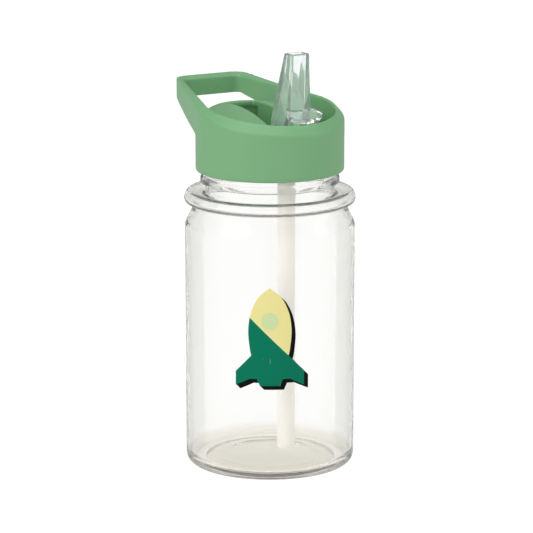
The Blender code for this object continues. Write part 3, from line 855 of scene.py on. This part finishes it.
class BOTTLE_OT_lid(bpy.types.Operator):
    """Lid moulded in one: skirt, slanting rim, carry loop, dome with its trough, and straw socket"""

    bl_idname = "bottle.lid"
    bl_label = "Lid"
    bl_options = {"REGISTER", "UNDO"}

    def blank(self, s):
        """Skirt, deck and plug ring."""
        deck_high, deck_low, shoulder = 143.3 * MM, 141.3 * MM, 144.5 * MM
        bore, plug, plug_bore, plug_low = 29.3 * MM, 23.9 * MM, 22.4 * MM, 137.5 * MM
        profile = [
            (0, deck_high),
            (29.0 * MM, deck_high),
            (29.0 * MM, shoulder),
            (s.radius - 0.03 * MM, shoulder),
            (s.radius - 0.03 * MM, s.bottom + 1.2 * MM),
            *arc((s.radius - 1.23 * MM, s.bottom + 1.2 * MM), 1.2 * MM, -15, -90, 5),
            (bore + 0.5 * MM, s.bottom),
            (bore, s.bottom + 0.5 * MM),
            (bore, deck_low),
            (plug, deck_low),
            (plug, plug_low + 0.5 * MM),
            (plug - 0.5 * MM, plug_low),
            (plug_bore, plug_low),
            (plug_bore, deck_low),
            (0, deck_low),
        ]
        return turned("lid_moulding", profile, 180)

    def share_of_way(self, y, start, end):
        """How far y is on the way from the start to the end, from 0 to 1."""
        return min(1.0, max(0.0, (y - start) / (end - start)))

    def rim_and_loop(self, s):
        """One ring of sections: upright inside, sloping outwards on top, and slimmer along the loop's bar."""
        rim_drop, bar_rise, band_low, bar_low = 4.3 * MM, 1.1 * MM, 142.2 * MM, 151.8 * MM
        drop_y, arm_curve, crest_share, crest_edge = -20 * MM, 1.4, 0.22, 0.5 * MM
        bar_corner, corner_x, bar_depth, arm_width = 7.5 * MM, 16.0 * MM, 3.4 * MM, 2.4 * MM
        outer = plan_of(s.radius, corner_x, s.reach, bar_corner)
        leave_y, bar_y = s.radius * math.sin(LEAVE_ANGLE), s.reach - bar_depth
        inner = plan_of(s.rim_inner, corner_x - arm_width, bar_y, bar_corner / 2)
        halves = []
        for out, into in zip(outer, inner):
            top = crest_height(s, into.y)
            rise = (rim_drop + bar_rise) * self.share_of_way(out.y, drop_y, bar_y)
            edge = top - rim_drop + rise
            low = band_low + (bar_low - band_low) * self.share_of_way(out.y, leave_y, bar_y) ** arm_curve
            crest = into.lerp(out, crest_share)
            halves.append(((out, low), (out, edge), (crest, top), (into, top - crest_edge), (into, low)))
        mirrored = [[(Vector((-p.x, p.y)), z) for p, z in section] for section in reversed(halves[1:-1])]
        sections = halves + mirrored
        rings = [[(p.x, p.y, z) for p, z in corner] for corner in zip(*sections)]
        return lofted("rim_and_loop", rings, around=True)

    def dome(self, name, radius, top, low, fall):
        """A low dome on a round wall, its top tilted up towards the back."""
        edge, middle_y, tilt = 1.8 * MM, 7.3 * MM, 0.135
        crown = [(radius - edge) * i / 10 for i in range(11)]
        crown = [(r, top - fall * (r / (radius - edge)) ** 2) for r in crown]
        rounded = arc((radius - edge, crown[-1][1] - edge), edge, 75, 0, 6)
        obj = turned(name, [*crown, *rounded, (radius, low), (0, low)], 120, (0, middle_y))
        for vert in obj.data.vertices:
            if vert.co.z > low + 0.3 * MM:
                vert.co.z += tilt * (vert.co.y - AXIS.y - middle_y)
        return obj

    def trough_outline(self, clearance, back_y, top):
        """(y, z) outline of the folded spout's space: round the barrel, then a floor that climbs."""
        reach = 6.2 * MM + clearance
        front = arc((PIVOT.y, PIVOT.z), reach, 180, 270, 16)
        end_z = 144.0 * MM - (clearance - 0.3 * MM)
        return [(PIVOT.y - reach, top), *front, (back_y, end_z), (back_y, top)]

    def plate(self, name, outline, half):
        return prism(name, [AXIS + Vector((-half, y, z)) for y, z in outline], Vector((2 * half, 0, 0)))

    def housing(self, s):
        """The trough's floor and side walls, in the dome's hollow."""
        floor = self.trough_outline(2.1 * MM, 22.0 * MM, 143.0 * MM)[:-1]
        under_dome = [
            (22.0 * MM, s.dome_top - 1.0 * MM),
            (5.0 * MM, s.dome_top - 1.6 * MM),
            (-4.0 * MM, s.dome_top - 4.2 * MM),
            (PIVOT.y - 1.0 * MM, 143.0 * MM),
        ]
        return self.plate("trough_housing", floor + under_dome, 8.0 * MM)

    def execute(self, context):
        s = context.scene.bottle_lid
        lid = self.blank(s)
        combine(
            lid,
            "UNION",
            self.rim_and_loop(s),
            self.dome("dome_skin", s.dome_radius, s.dome_top, 142.0 * MM, 3.1 * MM),
            thread_ridge("lid_thread", 28.85 * MM, 131.6 * MM, 0.1, 1.45),
        )
        hollow_radius, hollow_top = s.dome_radius - 4.4 * MM, s.dome_top - 2.2 * MM
        hollow = self.dome("dome_hollow", hollow_radius, hollow_top, 139.8 * MM, 2.2 * MM)
        combine(lid, "DIFFERENCE", hollow)
        combine(
            lid,
            "UNION",
            self.housing(s),
            upright_rod("straw_socket", 5.65 * MM, 127.3 * MM, 135.2 * MM, PIVOT.y),
            upright_rod("valve_pad", 4.5 * MM, 139.9 * MM, 142.2 * MM, VALVE_Y),
        )
        combine(
            lid,
            "DIFFERENCE",
            self.plate("trough", self.trough_outline(0.5 * MM, 25.0 * MM, 170 * MM), 6.4 * MM),
            upright_rod("seal_seat", 4.45 * MM, 132.7 * MM, 137.8 * MM, PIVOT.y),
            upright_rod("drink_hole", 3.0 * MM, 130.2 * MM, 134 * MM, PIVOT.y),
            upright_rod("straw_bore", 4.05 * MM, 122.3 * MM, 131.5 * MM, PIVOT.y),
            rod("trunnion_holes", 2.15 * MM, 16.8 * MM, PIVOT, ALONG_X),
            upright_rod("valve_hole", 2.0 * MM, 134.9 * MM, s.dome_top, VALVE_Y),
        )
        mould(lid, s.voxel, rounds=3)
        green = moulded_plastic("sage_green_polypropylene", s.colour, 0.37, 0.012 * MM)
        finish_piece(lid, green, "lid", ["lid_body"], degrees=None)
        return {"FINISHED"}


class BOTTLE_OT_spout(bpy.types.Operator):
    """Clear mouthpiece on its barrel and trunnions, with a thumb tab"""

    bl_idname = "bottle.spout"
    bl_label = "Spout"
    bl_options = {"REGISTER", "UNDO"}

    def tab(self, s):
        """Thumb tab: it slopes down to its round front edge, and its top is hollowed for the thumb."""
        root_y, root_z, slope, hollow, columns = -21.5 * MM, 157.2 * MM, 0.42, 20.0, 12
        shape = [(5.0, 0.0), (6.0, 2.5), (7.4, 5.4), (8.1, 7.2)]
        shape += [(7.9, 8.1), (7.0, 8.9), (5.4, 9.5), (3.4, 9.8)]
        rings = []
        for half, forward in mm(*smooth(shape, 3)):
            top = []
            for i in range(columns + 1):
                x = half * (1 - 2 * i / columns)
                top.append((x, root_y - forward, root_z - slope * forward + hollow * x * x))
            rings.append(top + [(x, y, z - s.tab_thickness) for x, y, z in reversed(top)])
        obj = lofted("thumb_tab", rings)
        soften(obj, 0.3 * MM, 3)
        return obj

    def execute(self, context):
        s = context.scene.bottle_spout
        body = [
            rounded_rectangle(5.9 * MM, -7.9 * MM, -19.7 * MM, 141.6 * MM, 0.9 * MM),
            rounded_rectangle(5.85 * MM, -12.0 * MM, -24.2 * MM, 156.0 * MM, 1.0 * MM),
            rounded_rectangle(4.37 * MM, -18.85 * MM, -25.4 * MM, s.top - 0.4 * MM, 0.9 * MM),
            rounded_rectangle(4.15 * MM, -19.05 * MM, -25.2 * MM, s.top, 0.75 * MM),
        ]
        spout = lofted("spout_moulding", body)
        channel = [
            rounded_rectangle(2.0 * MM, -11.8 * MM, -15.8 * MM, 134.0 * MM, 0.6 * MM),
            rounded_rectangle(2.4 * MM, -11.6 * MM, -16.0 * MM, 140.0 * MM, 0.7 * MM),
            rounded_rectangle(3.6 * MM, -14.6 * MM, -21.9 * MM, 156.0 * MM, 0.8 * MM),
            rounded_rectangle(3.2 * MM, -20.0 * MM, -24.3 * MM, s.top, 0.6 * MM),
            rounded_rectangle(3.2 * MM, -20.6 * MM, -24.5 * MM, s.top + 2.5 * MM, 0.6 * MM),
        ]
        combine(
            spout,
            "UNION",
            rod("barrel", s.barrel_radius, 12.0 * MM, PIVOT, ALONG_X, 96),
            rod("trunnions", 1.85 * MM, 16.0 * MM, PIVOT, ALONG_X),
            self.tab(s),
        )
        combine(spout, "DIFFERENCE", lofted("channel", channel))
        clear = clear_plastic(
            "clear_spout_plastic",
            s.tint,
            s.edge_tint,
            edge_power=3.0,
            roughness=0.05,
            ripple=0.02 * MM,
            haze=0.07,
        )
        finish_piece(spout, clear, "spout", ["spout"], degrees=28)
        return {"FINISHED"}


class BOTTLE_OT_straw(bpy.types.Operator):
    """Milky straw from the socket down to the base"""

    bl_idname = "bottle.straw"
    bl_label = "Straw"
    bl_options = {"REGISTER", "UNDO"}

    def execute(self, context):
        s = context.scene.bottle_straw
        low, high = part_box("straw")[0].z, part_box("straw")[1].z
        straw = chamfered_tube("straw_tube", s.bore, s.radius, low, high, 0.15 * MM, 64, (0, PIVOT.y))
        milky = moulded_plastic(
            "milky_polyethylene", s.colour, 0.35, 0.01 * MM, grain=1800.0, subsurface=0.5, soak=MM
        )
        finish_piece(straw, milky, "lid", ["straw"])
        return {"FINISHED"}


class BOTTLE_OT_seals(bpy.types.Operator):
    """Silicone pieces inside the lid: spout seal, lid gasket and air valve"""

    bl_idname = "bottle.seals"
    bl_label = "Seals"
    bl_options = {"REGISTER", "UNDO"}

    def gasket(self):
        low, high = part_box("lid_gasket")
        return chamfered_tube("lid_gasket_ring", 24.3 * MM, high.x, low.z, high.z, 0.3 * MM, 120)

    def seat(self):
        """A ring whose top is hollowed to fit the spout's barrel."""
        low, high, bore, radius = 133.0 * MM, 136.8 * MM, 2.4 * MM, 4.15 * MM
        profile = [(bore, high), (radius, high), (radius, low), (bore, low)]
        seat = turned("spout_seat", profile, 64, (0, PIVOT.y))
        combine(seat, "DIFFERENCE", rod("saddle", 6.5 * MM, 20 * MM, PIVOT, ALONG_X, 96))
        return seat

    def valve(self):
        """A duckbill: a round stem and flange, then a bill that flattens downwards."""
        flange, bill, bill_length, bill_r, narrowing = 139.6 * MM, 138.6 * MM, 4.2 * MM, 2.2 * MM, 0.5 * MM
        steps = 8
        stem = mm((0, 141.7), (1.4, 141.7), (1.7, 141.4))
        disc = [
            (1.7 * MM, flange),
            (3.0 * MM, flange),
            (3.2 * MM, flange - 0.2 * MM),
            (3.2 * MM, bill + 0.2 * MM),
            (3.0 * MM, bill),
            (bill_r, bill),
        ]
        shares = [i / steps for i in range(1, steps + 1)]
        taper = [(bill_r - narrowing * share, bill - bill_length * share) for share in shares]
        valve = turned("duckbill_valve", [*stem, *disc, *taper, (0, bill - bill_length)], 48, (0, VALVE_Y))
        middle = AXIS.y + VALVE_Y
        for vert in valve.data.vertices:
            depth = max(0.0, bill - vert.co.z) / bill_length
            vert.co.y = middle + (vert.co.y - middle) * (1 - 0.75 * depth)
        return valve

    def execute(self, context):
        s = context.scene.bottle_straw
        silicone = moulded_plastic(
            "white_silicone", s.silicone, 0.55, 0.015 * MM, grain=1500.0, subsurface=0.4
        )
        finish_piece(self.gasket(), silicone, "lid_gasket", ["lid_gasket"], degrees=50)
        finish_piece(self.seat(), silicone, "lid", ["spout_seal"])
        finish_piece(self.valve(), silicone, "lid", ["air_valve"])
        return {"FINISHED"}


class BOTTLE_OT_stage(bpy.types.Operator):
    """Pale floor, soft studio light and camera"""

    bl_idname = "bottle.stage"
    bl_label = "Stage"
    bl_options = {"REGISTER", "UNDO"}

    def camera(self, s):
        turn, away = s.camera_turn, s.camera_distance
        place = AXIS + Vector((math.sin(turn) * away, -math.cos(turn) * away, s.camera_height))
        aim = AXIS + Vector((0, 0, s.aim_height))
        clear_selection()
        bpy.ops.object.camera_add(location=place, rotation=(aim - place).to_track_quat("-Z", "Y").to_euler())
        cam = bpy.context.object
        cam.name = "camera"
        cam.data.lens = s.lens
        cam.data.sensor_width = 36
        cam.data.shift_x = s.shift
        cam.data.clip_start = 0.05
        bpy.context.scene.camera = cam

    def seen_in_gloss(self, tree):
        """1 for a ray that a glossy surface has mirrored, and 0 for any other."""
        path = tree.nodes.new("ShaderNodeLightPath")
        return maths(tree, "MULTIPLY", path.outputs["Is Glossy Ray"], path.outputs["Is Reflection Ray"])

    def lamp(self, name, azimuth, elevation, distance, size, watts):
        """A soft box that aims at the bottle, placed by its angle round the axis and above the floor."""
        a, e = math.radians(azimuth), math.radians(elevation)
        back = Vector((math.sin(a) * math.cos(e), -math.cos(a) * math.cos(e), math.sin(e)))
        aim = AXIS + Vector((0, 0, 0.1))
        clear_selection()
        bpy.ops.object.light_add(type="AREA", location=aim + back * distance)
        lamp = bpy.context.object
        lamp.name = name
        lamp.rotation_euler = (-back).to_track_quat("-Z", "Y").to_euler()
        lamp.data.shape = "RECTANGLE"
        lamp.data.size, lamp.data.size_y = size
        lamp.data.energy = watts

    def floor(self, s):
        """A wide floor that glows nearly white, and less so in what mirrors it."""
        clear_selection()
        bpy.ops.mesh.primitive_circle_add(vertices=96, radius=4, fill_type="NGON", location=(0, 0, 0))
        floor = named("floor")
        mat, tree, shader = new_material("white_sweep")
        shader.inputs["Base Color"].default_value = (*s.floor, 1)
        shader.inputs["Roughness"].default_value = 0.9
        shader.inputs["Emission Color"].default_value = (1, 1, 1, 1)
        glow = maths(
            tree, "MULTIPLY_ADD", self.seen_in_gloss(tree), -s.floor_glow * s.gloss_loss, s.floor_glow
        )
        tree.links.new(glow, shader.inputs["Emission Strength"])
        floor.data.materials.append(mat)

    def room(self, s):
        """The surroundings: white to the camera, and to all other rays greyer above and at the sides."""
        world = bpy.data.worlds.new("studio")
        world.use_nodes = True
        bpy.context.scene.world = world
        tree = world.node_tree
        light = tree.nodes["Background"]
        place = tree.nodes.new("ShaderNodeTexCoord").outputs["Generated"]
        height = tree.nodes.new("ShaderNodeSeparateXYZ")
        tree.links.new(place, height.inputs[0])
        ramp = tree.nodes.new("ShaderNodeValToRGB")
        ramp.color_ramp.interpolation = "EASE"
        stops = ((0.0, 0.95), (0.2, 0.95), (0.45, 0.55), (0.75, 0.45), (1.0, 0.8))
        while len(ramp.color_ramp.elements) < len(stops):
            ramp.color_ramp.elements.new(0.5)
        for element, (position, value) in zip(ramp.color_ramp.elements, stops):
            element.position = position
            element.color = (value, value, value, 1)
        tree.links.new(height.outputs["Z"], ramp.inputs["Fac"])
        across = tree.nodes.new("ShaderNodeVectorMath")
        across.operation = "DOT_PRODUCT"
        across.inputs[1].default_value = (math.cos(s.camera_turn), math.sin(s.camera_turn), 0)
        tree.links.new(place, across.inputs[0])
        side = tree.nodes.new("ShaderNodeMapRange")
        side.interpolation_type = "SMOOTHSTEP"
        for socket, value in (("From Min", 0.7), ("From Max", 0.97), ("To Min", 1.0), ("To Max", 0.4)):
            side.inputs[socket].default_value = value
        tree.links.new(maths(tree, "ABSOLUTE", across.outputs["Value"]), side.inputs["Value"])
        shaded = tree.nodes.new("ShaderNodeVectorMath")
        shaded.operation = "SCALE"
        tree.links.new(ramp.outputs["Color"], shaded.inputs[0])
        tree.links.new(side.outputs["Result"], shaded.inputs["Scale"])
        tree.links.new(shaded.outputs[0], light.inputs["Color"])
        dimmed = maths(tree, "MULTIPLY_ADD", self.seen_in_gloss(tree), -s.gloss_loss, 1.0)
        tree.links.new(dimmed, light.inputs["Strength"])
        white = tree.nodes.new("ShaderNodeBackground")
        white.inputs["Strength"].default_value = 1.05
        path = tree.nodes.new("ShaderNodeLightPath")
        mix = tree.nodes.new("ShaderNodeMixShader")
        tree.links.new(path.outputs["Is Camera Ray"], mix.inputs["Fac"])
        tree.links.new(light.outputs[0], mix.inputs[1])
        tree.links.new(white.outputs[0], mix.inputs[2])
        tree.links.new(mix.outputs[0], tree.nodes["World Output"].inputs["Surface"])

    def execute(self, context):
        s = context.scene.bottle_stage
        self.camera(s)
        self.floor(s)
        self.room(s)
        self.lamp("left_softbox", -85, 30, distance=1.1, size=(0.8, 1.1), watts=4.5)
        self.lamp("right_softbox", 50, 25, distance=1.3, size=(0.5, 1.0), watts=2)
        self.lamp("top_softbox", -30, 80, distance=1.2, size=(1.0, 1.0), watts=6)
        context.scene.view_settings.view_transform = "Standard"
        return {"FINISHED"}


class BOTTLE_PT_panel(bpy.types.Panel):
    """Lists the pieces and the stage"""

    bl_idname = "BOTTLE_PT_panel"
    bl_label = "Kids water bottle"
    bl_space_type = "VIEW_3D"
    bl_region_type = "UI"
    bl_category = "Bottle"

    def draw(self, context):
        for operator in OPERATORS:
            self.layout.operator(operator.bl_idname)


OPERATORS = (
    BOTTLE_OT_stage,
    BOTTLE_OT_shell,
    BOTTLE_OT_motif,
    BOTTLE_OT_lid,
    BOTTLE_OT_spout,
    BOTTLE_OT_straw,
    BOTTLE_OT_seals,
)


def register():
    for cls in (*SETTINGS.values(), *OPERATORS, BOTTLE_PT_panel):
        bpy.utils.register_class(cls)
    for name, cls in SETTINGS.items():
        setattr(bpy.types.Scene, name, PointerProperty(type=cls))


def unregister():
    for name in SETTINGS:
        delattr(bpy.types.Scene, name)
    for cls in reversed((*SETTINGS.values(), *OPERATORS, BOTTLE_PT_panel)):
        bpy.utils.unregister_class(cls)


def main():
    register()
    bpy.ops.bottle.stage()
    bpy.ops.bottle.shell()
    bpy.ops.bottle.motif()
    bpy.ops.bottle.lid()
    bpy.ops.bottle.spout()
    bpy.ops.bottle.straw()
    bpy.ops.bottle.seals()


if __name__ == "__main__":
    main()
